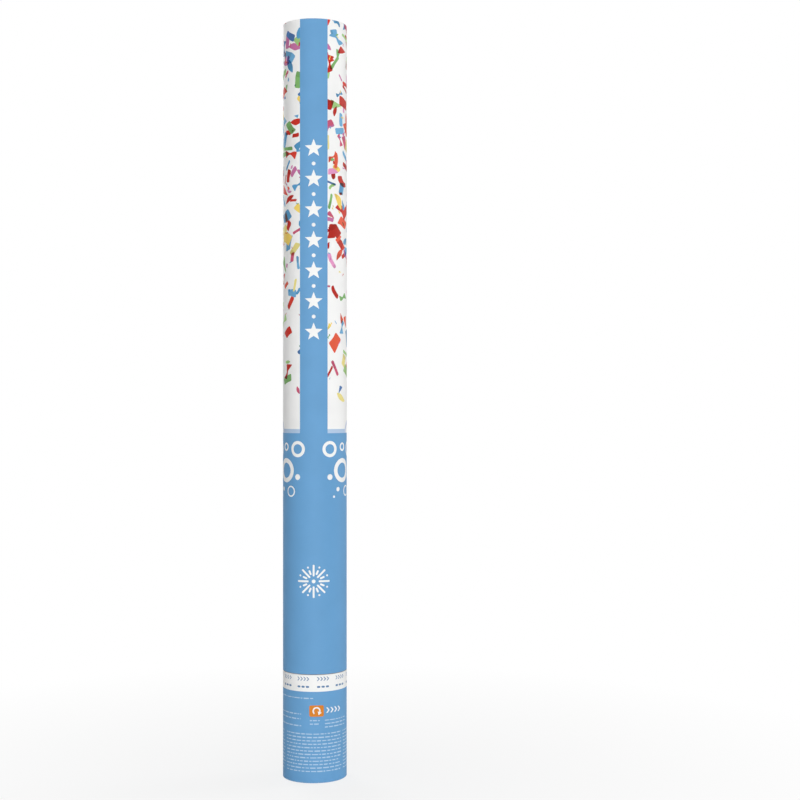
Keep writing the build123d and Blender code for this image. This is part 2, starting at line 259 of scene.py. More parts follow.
WHITE = srgb(249, 249, 248)
PAPER_CORE = srgb(228, 225, 217)
BLUE = srgb(108, 164, 211)
PALE_BLUE = srgb(183, 206, 233)
HALO_TINT = srgb(205, 214, 234)
MARK_BLUE = srgb(96, 134, 174)
SMALL_PRINT = srgb(182, 209, 233)
ORANGE = srgb(222, 134, 44)
REDS = [srgb(184, 44, 34), srgb(200, 50, 38), srgb(212, 62, 48), srgb(226, 92, 66)]
PINKS = [srgb(202, 116, 166), srgb(226, 152, 196), srgb(206, 92, 122)]
GREENS = [srgb(128, 180, 108), srgb(166, 208, 134)]
YELLOWS = [srgb(250, 216, 108), srgb(236, 222, 140)]
BLUES = [srgb(88, 156, 202), srgb(112, 174, 216), srgb(80, 122, 178)]
CONFETTI_INKS = REDS + PINKS + GREENS + YELLOWS + BLUES
TISSUES = {
    "blue": srgb(74, 152, 206),
    "green": srgb(138, 198, 116),
    "yellow": srgb(250, 214, 88),
    "pink": srgb(226, 146, 190),
    "red": srgb(216, 56, 42),
}


def smooth(share):
    """Smooth step from 0 to 1."""
    share = min(max(share, 0.0), 1.0)
    return share * share * (3 - 2 * share)


def add_object(name, points, faces):
    """A new mesh object from points in millimetres."""
    mesh = bpy.data.meshes.new(name)
    mesh.from_pydata([Vector(point) * MM for point in points], [], faces)
    made = bpy.data.objects.new(name, mesh)
    bpy.context.collection.objects.link(made)
    return made


# Outlines on the unrolled paper

def turned(outline, angle, centre):
    """The outline turned about zero and moved to a centre."""
    across, along = cos(angle), sin(angle)
    return [(centre[0] + x * across - y * along, centre[1] + x * along + y * across) for x, y in outline]


def rectangle(left, right, low, high):
    return [(left, low), (right, low), (right, high), (left, high)]


def arc(centre, radius, turns):
    """Points on a circle at these angles."""
    return [(centre[0] + radius * cos(turn), centre[1] + radius * sin(turn)) for turn in turns]


def circle(centre, radius):
    """A circle, in more steps where it is larger."""
    steps = 12 + 3 * int(radius)
    return arc(centre, radius, [tau * step / steps for step in range(steps)])


def star(centre, radius, points, waist):
    """A star with a point at its top, and its waist as a share of its radius."""
    corners = []
    for step in range(2 * points):
        reach = radius * waist if step % 2 else radius
        corners += arc(centre, reach, [pi / 2 + pi * step / points])
    return corners


def rounded(centre, size, corner, steps=4):
    """A rectangle with round corners."""
    outline = []
    for quarter, (side, up) in enumerate(((1, 1), (-1, 1), (-1, -1), (1, -1))):
        middle = (centre[0] + side * (size[0] / 2 - corner), centre[1] + up * (size[1] / 2 - corner))
        outline += arc(middle, corner, [pi / 2 * (quarter + step / steps) for step in range(steps + 1)])
    return outline


def arc_band(centre, radius, stroke, start, end, steps=20):
    """Part of a ring between two angles."""
    turns = [start + (end - start) * step / steps for step in range(steps + 1)]
    return arc(centre, radius, turns) + arc(centre, radius - stroke, turns[::-1])


def chevron(centre, size, thickness):
    """An arrow head that points round the tube."""
    tip, top = size[0] / 2, size[1] / 2
    outline = [(-tip, top), (thickness - tip, top), (tip, 0)]
    outline += [(thickness - tip, -top), (-tip, -top), (tip - thickness, 0)]
    return turned(outline, 0, centre)


def softened(outline):
    """The outline with each corner rounded off."""
    made = []
    for before, corner, after in zip(outline[-1:] + outline[:-1], outline, outline[1:] + outline[:1]):
        ends = []
        for x, y in (before, after):
            reach = hypot(x - corner[0], y - corner[1])
            share = min(CORNER_MOST_SHARE, CORNER_CUT / max(reach, CORNER_CUT))
            ends.append((corner[0] + (x - corner[0]) * share, corner[1] + (y - corner[1]) * share))
        start, end = ends
        middle = tuple((start[axis] + 2 * corner[axis] + end[axis]) / 4 for axis in (0, 1))
        made += [start, middle, end]
    return made


class Sheet:
    """An unrolled wrap: u runs round the tube from the lap at the back, and h is the height from the seam."""

    def __init__(self, seam, length, corner, way):
        self.seam, self.length, self.corner, self.way = seam, length, corner, way
        self.straight = length - corner
        self.corner_end = self.straight + corner * pi / 2
        self.flat_end = self.corner_end + RIM_WIDTH - corner - LIP_ROUND
        self.lip_end = self.flat_end + LIP_ROUND * pi / 2
        self.end = self.lip_end + TURN_IN - LIP_ROUND
        self.art = []
        turn_edge = GIRTH - TURN_GAP
        outline = [(0, 0), (LAP_END, 0), (LAP_END, self.straight), (turn_edge, self.straight)]
        outline += [(turn_edge, self.end), (0, self.end)]
        self.outline = [(u, way * h) for u, h in outline]

    def at(self, height):
        """Place on the sheet of a height above the foot."""
        return height - self.seam

    def fold(self, distance):
        """Radius, rise and outward direction of the paper at a distance along it from the seam."""
        radius = WRAP_RADIUS
        if distance <= self.straight:
            return radius, distance, 1.0, 0.0
        if distance <= self.corner_end:
            turn = (distance - self.straight) / self.corner
            across, along = cos(turn), sin(turn)
            return radius - self.corner * (1 - across), self.straight + self.corner * along, across, along
        if distance <= self.flat_end:
            return radius - self.corner - (distance - self.corner_end), self.length, 0.0, 1.0
        if distance <= self.lip_end:
            turn = pi / 2 + (distance - self.flat_end) / LIP_ROUND
            across, along = cos(turn), sin(turn)
            middle = radius - RIM_WIDTH + LIP_ROUND
            return middle + LIP_ROUND * across, self.length - LIP_ROUND * (1 - along), across, along
        return radius - RIM_WIDTH, self.length - LIP_ROUND - (distance - self.lip_end), -1.0, 0.0

    def place(self, u, h, depth):
        """Point in the frame and outward direction, at a depth below the printed face."""
        distance = abs(h)
        radius, rise, across, along = self.fold(distance)
        angle = pi / 2 + u / WRAP_RADIUS
        folded = smooth((distance - self.straight) / (self.corner_end - self.straight))
        lift = LAP_LIFT * smooth((u - GIRTH + LAP_RAMP) / LAP_RAMP) * (1 - folded)
        if distance > self.corner_end:
            fade = smooth((distance - self.corner_end) / RIM_WIDTH)
            lift -= PLEAT_DEPTH * fade * (0.5 + 0.5 * sin(PLEATS * angle))
        round_way = Vector((cos(angle), sin(angle), 0))
        out = round_way * across + Vector((0, 0, self.way * along))
        point = round_way * radius + Vector((0, 0, self.seam + self.way * rise)) + out * (lift - depth)
        return point, out

    def rows(self):
        """Distances of the sheet's grid lines from the seam."""
        wall = self.straight - 2 * EDGE_STEP
        stops = [0.0, EDGE_STEP, EDGE_STEP + wall, self.straight]
        stops += [self.corner_end, self.flat_end, self.lip_end, self.end]
        counts = [EDGE_STEPS, round(wall / GRID_STEP), EDGE_STEPS]
        counts += [FOLD_STEPS, RIM_STEPS, FOLD_STEPS, TURN_IN_STEPS]
        distances = [0.0]
        for low, high, steps in zip(stops, stops[1:], counts):
            distances += [low + (high - low) * (step + 1) / steps for step in range(steps)]
        return distances

    def columns(self):
        """Places of the sheet's grid lines round the tube."""
        places = [GIRTH / SECTORS * column for column in range(SECTORS + 1)]
        return places + [GIRTH + LAP_WIDTH / 2, LAP_END]

    def paint(self, outline, ink, clear=False):
        """Adds a printed shape, made anticlockwise. A clear ink shows what lies below it."""
        sides = zip(outline, outline[1:] + outline[:1])
        area = sum(start[0] * end[1] - end[0] * start[1] for start, end in sides)
        self.art.append((outline if area > 0 else outline[::-1], np.array(ink), clear))

    def stamp(self, outline, ink, clear=False):
        """Adds a printed shape, and again a turn away where the lap repeats it."""
        for shift in (-GIRTH, 0, GIRTH):
            places = [u + shift for u, _ in outline]
            if max(places) > 0 and min(places) < LAP_END:
                self.paint([(u + shift, h) for u, h in outline], ink, clear)

    def ring(self, centre, radius, stroke, ink, middle_ink):
        """Adds a ring, or a dot where the stroke fills it."""
        self.stamp(circle(centre, radius), ink)
        if stroke < radius:
            self.stamp(circle(centre, radius - stroke), middle_ink)

    def marks(self, outline, centre, row, ink):
        """Adds a row of like marks about a centre."""
        count, pitch, size, detail = row
        for step in range(count):
            place = centre[0] + (step - (count - 1) / 2) * pitch
            self.stamp(outline((place, centre[1]), size, detail), ink)

    def words(self, draw, place, end, height):
        """Adds a row of short dashes that stands for small print."""
        while place < end:
            word = min(draw.uniform(*WORD_LENGTHS), end - place)
            half = TEXT_HEIGHT * draw.uniform(*WORD_HEIGHTS) / 2
            self.stamp(rectangle(place, place + word, height - half, height + half), SMALL_PRINT)
            place += word + draw.uniform(*WORD_GAPS)

    def colour(self, layers):
        """Ink of a patch that lies in these printed shapes."""
        ink = self.art[0][1]
        for layer in sorted(layers):
            _, own, clear = self.art[layer]
            ink = ink * own / WHITE if clear else own
        return ink


# Printed artwork

def confetti_edges(draw, length):
    """Left and right edge of a torn strip of tissue about zero, bent along its length."""
    shape, width_share, most_bend = draw.choice(CONFETTI_SHAPES)
    width = length * width_share * draw.uniform(*WIDTH_SPREAD)
    bend = draw.uniform(-most_bend, most_bend)
    slant = draw.uniform(-SLANT_SHARE, SLANT_SHARE) * width
    last = len(shape) - 1
    left, right = [], []
    x, y = -length / 2, 0.0
    for step, half in enumerate(shape):
        heading = bend * (step / last - 0.5)
        ahead, aside = cos(heading), sin(heading)
        for edge, side in ((left, 1), (right, -1)):
            reach = side * half * width / 2 * draw.uniform(*EDGE_SPREAD)
            edge.append((x - aside * reach + side * slant / 2, y + ahead * reach))
        x += ahead * length / last
        y += aside * length / last
    return left, right


def print_confetti(sheet, draw, centre, lengths, keep):
    """A printed piece of confetti. Some are clear, and some have a folded end that is darker."""
    left, right = confetti_edges(draw, draw.uniform(*lengths))
    angle = draw.uniform(0, tau)
    ink = np.minimum(draw.choice(CONFETTI_INKS) * draw.uniform(*INK_SPREAD), WHITE)
    clear = draw.random() < CLEAR_SHARE
    folded = draw.random() < FOLD_SHARE
    fold = draw.randrange(1, len(left) - 1)
    if draw.random() < keep:
        sheet.stamp(turned(softened(right + left[::-1]), angle, centre), ink, clear)
        if folded:
            darker = (WHITE if clear else ink) * FOLD_SHADE
            end = softened(right[fold:] + left[:fold - 1:-1])
            sheet.stamp(turned(end, angle, centre), darker, clear)


def scatter_confetti(sheet):
    """Printed confetti, thick in the upper half, thinner at the muzzle and sparse below."""
    draw = random.Random(CONFETTI_SEED)
    columns = round(GIRTH / CONFETTI_CELL)
    rows = int((sheet.end - sheet.at(CONFETTI_FOOT)) / CONFETTI_CELL) + 1
    for row in range(rows):
        for column in range(columns):
            u = (column + draw.random()) * GIRTH / columns
            height = CONFETTI_FOOT + (row + draw.random()) * CONFETTI_CELL
            keep = sum(change * smooth((height - start) / spread) for start, spread, change in CONFETTI_STEPS)
            print_confetti(sheet, draw, (u, sheet.at(height)), CONFETTI_LENGTHS, keep)
            chip_u = u + draw.uniform(-CHIP_REACH, CHIP_REACH)
            chip_height = height + draw.uniform(-CHIP_REACH, CHIP_REACH)
            print_confetti(sheet, draw, (chip_u, sheet.at(chip_height)), CHIP_LENGTHS, keep / 2)


def print_halos(sheet):
    """Pale rings that rise out of the blue field, away from the front."""
    for repeat in range(1, BUBBLE_REPEATS - 1):
        place = (FRONT + BUBBLE_PITCH * (repeat + 0.5)) % GIRTH
        sheet.ring((place, sheet.at(HALO_HEIGHT)), HALO_RADIUS, HALO_STROKE, HALO_TINT, WHITE)


def print_bubbles(sheet):
    """Rings and dots in the top of the blue field, fewer of them at the front."""
    for repeat in range(BUBBLE_REPEATS):
        middle = (FRONT + BUBBLE_PITCH * repeat) % GIRTH
        for place, height, radius, stroke in BETWEEN_BUBBLES + (BUBBLES if repeat else []):
            centre = (middle + place * BUBBLE_PITCH, sheet.at(height))
            sheet.ring(centre, radius, stroke, WHITE, BLUE)


def print_stars(sheet):
    """A row of stars up the stripe, with dots between them."""
    pitch = (STAR_HIGH - STAR_LOW) / (STAR_COUNT - 1)
    for step in range(STAR_COUNT):
        middle = sheet.at(STAR_LOW) + step * pitch
        sheet.paint(star((FRONT, middle), STAR_RADIUS, STAR_POINTS, STAR_WAIST), WHITE)
        if step:
            sheet.paint(circle((FRONT, middle - pitch / 2), STAR_DOT), WHITE)


def print_burst(sheet):
    """A burst of long and short rays in the blue field."""
    burst = (FRONT, sheet.at(BURST_HEIGHT))
    sheet.paint(circle(burst, BURST_HUB), WHITE)
    for step in range(BURST_RAYS):
        turn = tau * step / BURST_RAYS
        inner, outer = SHORT_RAY if step % 2 else LONG_RAY
        size = (BURST_RADIUS * (outer - inner), RAY_WIDTH)
        ray = rounded((BURST_RADIUS * (inner + outer) / 2, 0), size, RAY_CORNER)
        sheet.paint(turned(ray, turn, burst), WHITE)
        if step % 2:
            dot = circle((BURST_RADIUS * RAY_DOT_SHARE, 0), RAY_DOT)
            sheet.paint(turned(dot, turn, burst), WHITE)


def barrel_art(sheet):
    """Print of the barrel: a blue foot with bubbles, confetti above it, and a blue stripe up the front."""
    field_top = sheet.at(FIELD_TOP)
    half = STRIPE_WIDTH / 2
    sheet.paint(sheet.outline, WHITE)
    scatter_confetti(sheet)
    sheet.paint(rectangle(0, LAP_END, 0, sheet.at(FIELD_TOP + PALE_BAND)), PALE_BLUE)
    print_halos(sheet)
    sheet.paint(rectangle(0, LAP_END, 0, field_top), BLUE)
    print_bubbles(sheet)
    sheet.paint(rectangle(FRONT - half, FRONT + half, field_top, sheet.end), BLUE)
    print_stars(sheet)
    print_burst(sheet)


def print_band(sheet):
    """A white band under the seam, with arrow heads and dashes."""
    sheet.paint(rectangle(0, LAP_END, sheet.at(BAND_FOOT), 0), WHITE)
    for repeat in range(MARK_REPEATS):
        middle = GIRTH / MARK_REPEATS * (repeat + 0.5)
        sheet.marks(chevron, (middle, sheet.at(ARROW_ROW)), BAND_ARROWS, MARK_BLUE)
        sheet.marks(rounded, (middle, sheet.at(DASH_ROW)), BAND_DASHES, MARK_BLUE)


def print_badge(sheet):
    """An orange badge with a curled arrow, and arrow heads beside it."""
    badge = (FRONT + BADGE_PLACE, sheet.at(BADGE_HEIGHT))
    [head] = arc(badge, CURL_RADIUS - CURL_STROKE / 2, CURL_ENDS[:1])
    sheet.paint(rounded(badge, BADGE_SIZE, BADGE_CORNER), ORANGE)
    sheet.paint(arc_band(badge, CURL_RADIUS, CURL_STROKE, *CURL_ENDS), WHITE)
    sheet.paint(turned(CURL_HEAD, CURL_TILT, head), WHITE)
    beside = (badge[0] + SIDE_ARROWS_PLACE, badge[1] + SIDE_ARROWS_LIFT)
    sheet.marks(chevron, beside, SIDE_ARROWS, WHITE)


def print_text(sheet):
    """Small print in columns round the foot, and in blocks above them."""
    draw = random.Random(TEXT_SEED)
    column = GIRTH / TEXT_COLUMNS
    for row in range(ROW_COUNT):
        for block in range(TEXT_COLUMNS):
            start = column * block + draw.uniform(*ROW_STARTS)
            end = column * (block + 1) - draw.uniform(*ROW_ENDS)
            sheet.words(draw, start, end, sheet.at(ROW_TOP - row * ROW_PITCH))
    for start, end, heights in TEXT_BLOCKS:
        for height in heights:
            ragged_end = FRONT + end - draw.uniform(0, BLOCK_RAGGED)
            sheet.words(draw, FRONT + start, ragged_end, sheet.at(height))


def grip_art(sheet):
    """Print of the grip: blue, with a white band of marks under the seam, a badge and small print."""
    sheet.paint(sheet.outline, BLUE)
    print_band(sheet)
    print_badge(sheet)
    print_text(sheet)


# Paper wraps

def edge_loop(faces):
    """Edges that only one face has, each in the way that its face goes round."""
    edges = dict.fromkeys(edge for face in faces for edge in zip(face, face[1:] + face[:1]))
    return [edge for edge in edges if edge[::-1] not in edges]


def cut_flat(points, edges, faces):
    """Cuts the plane into places and triangles, with the points and faces that each comes from."""
    points = [Vector(point) for point in points]
    cut = geometry.delaunay_2d_cdt(points, edges, faces, TRIANGLES_INSIDE, CUT_TOLERANCE)
    places, _, triangles, sources, _, owners = cut
    return [tuple(place) for place in places], [list(triangle) for triangle in triangles], sources, owners


def cut_printed_face(sheet):
    """Cuts the sheet along its grid and printed shapes into places, triangles and their inks."""
    heights = [sheet.way * distance for distance in sheet.rows()]
    columns = sheet.columns()
    points = [(u, h) for h in heights for u in columns]
    across = len(columns)
    edges = []
    for row in range(len(heights)):
        for column in range(across):
            corner = row * across + column
            if column + 1 < across:
                edges.append((corner, corner + 1))
            if row + 1 < len(heights):
                edges.append((corner, corner + across))
    faces = []
    for outline, _, _ in sheet.art:
        faces.append(list(range(len(points), len(points) + len(outline))))
        points += outline
    places, triangles, _, owners = cut_flat(points, edges, faces)
    kept = [(triangle, owner) for triangle, owner in zip(triangles, owners) if 0 in owner]
    used = sorted({corner for triangle, _ in kept for corner in triangle})
    number = {corner: order for order, corner in enumerate(used)}
    triangles = [[number[corner] for corner in triangle] for triangle, _ in kept]
    inks = [sheet.colour(owner) for _, owner in kept]
    return [places[corner] for corner in used], triangles, inks


def cut_plain_face(sheet, places, edges):
    """Cuts the unprinted face into few triangles that share the printed face's edge."""
    rim = sorted({corner for edge in edges for corner in edge})
    order = {corner: number for number, corner in enumerate(rim)}
    points = [places[corner] for corner in rim]
    columns = sheet.columns()[2:SECTORS - 1:2]
    for distance in sheet.rows()[1:-1]:
        points += [(u, sheet.way * distance) for u in columns]
    loop = [(order[start], order[end]) for start, end in edges]
    plain_places, triangles, sources, _ = cut_flat(points, loop, [])
    back_of = {}
    for number, origins in enumerate(sources):
        back_of.update((rim[origin], number) for origin in origins if origin < len(rim))
    return plain_places, triangles, back_of


def lay_out_bake(mesh, sheet, places, printed, columns):
    """A UV map: the printed face in one or two columns, and the plain side in a strip beside them."""
    corners = np.empty(len(mesh.loops), dtype=np.int32)
    mesh.loops.foreach_get("vertex_index", corners)
    place = np.abs(np.array(places))[corners]
    across = place[:, 0] / LAP_END
    along = place[:, 1]
    rows = np.array(sheet.rows())
    split = rows[np.argmin(np.abs(rows - sheet.end / columns))] if columns > 1 else sheet.end
    front = 3 * printed
    middle = along[:front].reshape(-1, 3).mean(axis=1)
    column = np.where(np.repeat(middle, 3) > split, 1, 0)
    width = (1 - BAKE_STRIP) / columns
    share = (along[:front] - column * split) / split
    uv = np.empty((len(corners), 2))
    uv[:front, 0] = column * width + BAKE_MARGIN + across[:front] * (width - 2 * BAKE_MARGIN)
    uv[:front, 1] = BAKE_MARGIN + share * (1 - 2 * BAKE_MARGIN)
    uv[front:, 0] = 1 - BAKE_STRIP + BAKE_MARGIN + across[front:] * (BAKE_STRIP - 2 * BAKE_MARGIN)
    uv[front:, 1] = BAKE_MARGIN + along[front:] / sheet.end * (1 - 2 * BAKE_MARGIN)
    mesh.uv_layers.new(name="OFBake").data.foreach_set("uv", uv.astype(np.float32).ravel())


def set_normals(mesh, normals, walls):
    """Shades the paper by its own direction, and the faces from walls on, its cut edges, flat."""
    mesh.shade_smooth()
    facing = []
    for polygon in mesh.polygons:
        flat = polygon.index >= walls
        facing += [polygon.normal.copy() if flat else normals[corner] for corner in polygon.vertices]
    mesh.normals_split_custom_set(facing)


def set_inks(mesh, sheet, inks, places):
    """Gives the mesh what its material reads: each face's ink, and how rubbed each point is."""
    ink = mesh.attributes.new("ink", "FLOAT_VECTOR", "FACE")
    unprinted = [PAPER_CORE] * (len(mesh.polygons) - len(inks))
    ink.data.foreach_set("vector", np.array(inks + unprinted, dtype=np.float32).ravel())
    wear = mesh.attributes.new("wear", "FLOAT", "POINT")
    distances = np.abs(np.array([h for _, h in places]))
    fold = (sheet.straight + sheet.corner_end) / 2
    near_fold = np.exp(-((distances - fold) / FOLD_WEAR) ** 2)
    near_seam = np.exp(-(distances / SEAM_WEAR) ** 2)
    wear.data.foreach_set("value", np.maximum(near_fold, near_seam).astype(np.float32))


def build_wrap(name, sheet, bake_columns):
    """A printed wrap, as one closed sheet of paper."""
    places, triangles, inks = cut_printed_face(sheet)
    edges = edge_loop(triangles)
    plain_places, plain_triangles, back_of = cut_plain_face(sheet, places, edges)
    printed = [sheet.place(u, h, 0.0) for u, h in places]
    plain = [sheet.place(u, h, PAPER) for u, h in plain_places]
    points = [point for point, _ in printed + plain]
    normals = [out for _, out in printed] + [-out for _, out in plain]
    first = len(places)
    faces = list(triangles)
    faces += [[first + corner for corner in reversed(triangle)] for triangle in plain_triangles]
    walls = len(faces)
    faces += [[end, start, first + back_of[start], first + back_of[end]] for start, end in edges]
    made = add_object(name, points, faces)
    set_normals(made.data, normals, walls)
    set_inks(made.data, sheet, inks, places + plain_places)
    lay_out_bake(made.data, sheet, places + plain_places, len(triangles), bake_columns)
    return made


# Tissue, foam and card

def shade(made):
    """Shades a piece smooth, apart from its sharp edges."""
    made.data.shade_smooth()
    made.data.set_sharp_from_angle(angle=SHARP_ANGLE)
    return made


def strip_faces(rows, columns):
    """Faces of a closed strip, whose points run over its front and then over its back."""
    count = rows * columns
    faces = []
    for row in range(rows - 1):
        for column in range(columns - 1):
            low = row * columns + column
            high = low + columns
            faces.append((low, low + 1, high + 1, high))
            faces.append((high + count, high + 1 + count, low + 1 + count, low + count))
    rim = [*range(columns), *range(2 * columns - 1, count, columns)]
    rim += [*range(count - 2, count - columns, -1), *range(count - columns, 0, -columns)]
    for start, end in zip(rim, rim[1:] + rim[:1]):
        faces.append((end, start, start + count, end + count))
    return faces


def tissue_strip(draw, crinkle, lane, thickness, flare):
    """Points of one crinkled strip in its lane of a sheaf, with one end that flares out."""
    rows, columns = STRIP_GRID
    phase, cross_phase, waves, sway = crinkle
    width = STRIP_WIDTH - draw.uniform(*WIDTH_TRIMS)
    length = STRIP_LENGTH - draw.uniform(*LENGTH_TRIMS)
    shift = draw.uniform(-0.5, 0.5) * (STRIP_WIDTH - width)
    rise = draw.uniform(-0.5, 0.5) * (STRIP_LENGTH - length)
    lean = draw.uniform(-STRIP_LEAN, STRIP_LEAN)
    skew = draw.uniform(-STRIP_SKEW, STRIP_SKEW)
    free_end = draw.choice((-1, 1))
    front, back = [], []
    for row in range(rows):
        up = row / (rows - 1) - 0.5
        for column in range(columns):
            out = column / (columns - 1) - 0.5
            x = shift + out * width + lean * up * length
            z = rise + up * length + skew * out * width
            wave = sway * sin(phase + tau * waves * up)
            wave += CROSS_SWAY * sin(cross_phase + CROSS_TURN_ACROSS * out + CROSS_TURN_ALONG * up)
            wave += flare * max(0.0, 2 * free_end * up) ** 2 * (1 + FLARE_TWIST * out)
            front.append((x, lane + wave - thickness / 2, z))
            back.append((x, lane + wave + thickness / 2, z))
    return front + back


def stack_strips(draw, column):
    """Points of the strips in a column of sheaves, which share a crinkle that drifts as they stack."""
    phase, cross_phase = draw.uniform(0, tau), draw.uniform(0, tau)
    waves, sway = draw.uniform(*CRINKLE_WAVES), draw.uniform(*CRINKLE_SWAYS)
    sheaf_x = (column - (SHEAF_COLUMNS - 1) / 2) * (STRIP_WIDTH + PACKING_GAP)
    stagger = LANE_STAGGER if column % 2 else -LANE_STAGGER
    count = SHEAF_ROWS * SHEAF_STRIPS
    for order in range(count):
        row, strip = divmod(order, SHEAF_STRIPS)
        sheaf_y = (row - (SHEAF_ROWS - 1) / 2) * (SHEAF_DEPTH + PACKING_GAP)
        lane = (strip - (SHEAF_STRIPS - 1) / 2 + stagger) * SHEAF_DEPTH / SHEAF_STRIPS
        outside = (order >= count - LOOSE_STRIPS) - (order < LOOSE_STRIPS)
        thickness = LOOSE_TISSUE if outside else PACKED_TISSUE
        flare = outside * draw.uniform(*STRIP_FLARES)
        drift = CRINKLE_DRIFT * order
        crinkle = (phase + drift, cross_phase - drift, waves, sway)
        points = tissue_strip(draw, crinkle, lane, thickness, flare)
        yield [(x + sheaf_x, y + sheaf_y, z) for x, y, z in points]


def build_bundle(colour, order):
    """A bundle of tissue strips of one colour, in tiers of sheaves, each turned from the last."""
    draw = random.Random(BUNDLE_SEED + order)
    low, _ = box_mm("confetti_" + colour)
    pattern = strip_faces(*STRIP_GRID)
    points, faces = [], []
    for tier in range(TIERS_PER_COLOUR):
        turn = TIER_TURN * (order * TIERS_PER_COLOUR + tier)
        across, along = cos(turn), sin(turn)
        middle = low.z + STRIP_LENGTH / 2 + tier * (STRIP_LENGTH + PACKING_GAP)
        for column in range(SHEAF_COLUMNS):
            for strip in stack_strips(draw, column):
                faces += [[len(points) + corner for corner in face] for face in pattern]
                for x, y, z in strip:
                    fit = min(1.0, BUNDLE_RADIUS / hypot(x, y))
                    x, y = x * fit, y * fit
                    points.append((x * across - y * along, x * along + y * across, middle + z))
    return shade(add_object("tissue_bundle_" + colour, points, faces))


def lathe(name, profile, shape):
    """A closed piece turned about the tube's axis, from a profile that starts and ends on it."""
    points, faces = [shape(*profile[0], 0.0)], []
    for radius, height in profile[1:-1]:
        for step in range(TURN_STEPS):
            points.append(shape(radius, height, tau * step / TURN_STEPS))
    points.append(shape(*profile[-1], 0.0))
    last = len(points) - 1
    top = last - TURN_STEPS
    for step in range(TURN_STEPS):
        after = (step + 1) % TURN_STEPS
        faces.append((0, 1 + after, 1 + step))
        for low in range(1, top, TURN_STEPS):
            high = low + TURN_STEPS
            faces.append((low + step, low + after, high + after, high + step))
        faces.append((top + step, top + after, last))
    return shade(add_object(name, points, faces))


def corner_arc(radius, height, size, start, steps=5):
    """Points of a quarter-round corner about a middle, in radius and height."""
    return arc((radius, height), size, [start + pi / 2 * step / steps for step in range(steps + 1)])


def flat_face(outer, height):
    """Profile of a round flat face from the axis out, in radius and height."""
    return [(outer * step / FACE_RINGS, height) for step in range(FACE_RINGS)]


def build_wad():
    """Round foam wad with an open-celled skin."""
    low, high = box_mm("foam_wad")
    thickness = high.z - low.z
    middle = (low.z + high.z) / 2
    inner = high.x - WAD_ROUND
    profile = flat_face(inner, low.z)
    profile += corner_arc(inner, low.z + WAD_ROUND, WAD_ROUND, -pi / 2)
    profile += [(high.x, low.z + thickness * share) for share in WAD_SIDE_SHARES]
    profile += corner_arc(inner, high.z - WAD_ROUND, WAD_ROUND, 0.0)
    profile += flat_face(inner, high.z)[::-1]

    def shape(radius, height, angle):
        """A point of the skin, sunk where a cell is open."""
        x, y = radius * cos(angle), radius * sin(angle)
        pit = max(0.0, noise.noise(Vector((x, y, height)) * PITS_PER_MM)) * PIT_DEPTH
        inward = 1 - pit / high.x
        return x * inward, y * inward, height + (middle - height) * pit / (thickness / 2)

    return lathe("foam_disc", profile, shape)


def build_lid():
    """Card lid of the muzzle: a dished disc with a pleated skirt."""
    low, high = box_mm("muzzle_disc")
    outer, inner = high.x, high.x - LID_CARD
    under = high.z - LID_CARD
    skirt = under - low.z
    profile = flat_face(inner, under) + [(inner, under - LID_FILLET)]
    profile += [(inner, low.z + skirt * share) for share in (2 / 3, 1 / 3)]
    profile += [(inner, low.z), (outer - LID_EDGE, low.z)]
    profile += [(outer, low.z + skirt * share) for share in (LID_EDGE_SHARE, 1 / 3, 2 / 3)]
    profile += corner_arc(inner, under, LID_CARD, 0.0)
    profile += flat_face(inner, high.z)[::-1]

    def shape(radius, height, angle):
        """A point of the card, dished in the disc, and pleated and ragged down the skirt."""
        dish = LID_DISH * (1 - smooth(radius / inner)) if height >= under else 0.0
        below = smooth((under - height) / skirt)
        pleat = LID_PLEAT_DEPTH * below * (1 - abs(sin(LID_PLEATS * angle / 2)))
        rag = noise.noise(Vector((LID_RAGS * cos(angle), LID_RAGS * sin(angle), 0)))
        rise = LID_RAGGED * below * (0.5 + 0.5 * rag)
        reach = radius - pleat
        return reach * cos(angle), reach * sin(angle), height - dish + rise

    return lathe("muzzle_lid", profile, shape)


# Materials

def node(tree, kind, inputs=None, **settings):
    """Adds a node, sets it, and links or fills its inputs."""
    made = tree.nodes.new(kind)
    for name, value in settings.items():
        setattr(made, name, value)
    for key, value in (inputs or {}).items():
        if isinstance(value, bpy.types.NodeSocket):
            tree.links.new(value, made.inputs[key])
        else:
            made.inputs[key].default_value = value
    return made


# Rise of the tube's winding in a turn, and the sockets of a Mix node that mixes colours
WINDING_PITCH = 0.062
MIX_SHARE, MIX_FIRST, MIX_SECOND, MIX_RESULT = 0, 6, 7, 2


